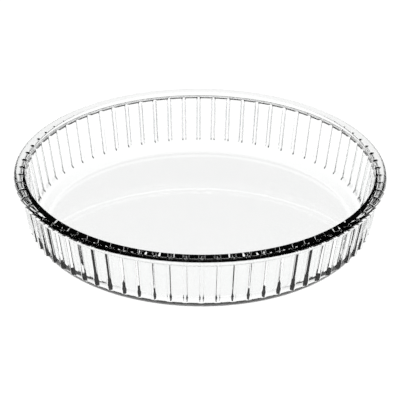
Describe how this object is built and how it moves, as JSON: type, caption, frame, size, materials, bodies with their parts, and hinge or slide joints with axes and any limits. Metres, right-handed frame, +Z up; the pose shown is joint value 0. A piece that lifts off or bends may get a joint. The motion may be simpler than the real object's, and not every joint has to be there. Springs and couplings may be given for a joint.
{
  "type": "pie dish",
  "caption": "Round clear glass pie dish with a flat floor, a ribbed wall that leans outward and a thick rounded lip.",
  "frame": {"origin": "middle of the flat underside that the dish rests on", "axes": "+Z up along the axis of the dish, out of its open top; +X and +Y in the plane it rests on, +X through the middle of a panel between two ribs and -Y through the middle of a rib"},
  "size_m": [0.28, 0.28, 0.05],
  "materials": {
    "clear_glass": "clear, smooth and glossy"
  },
  "bodies": {
    "root": {"glass_dish": "clear_glass"}
  },
  "joints": []
}
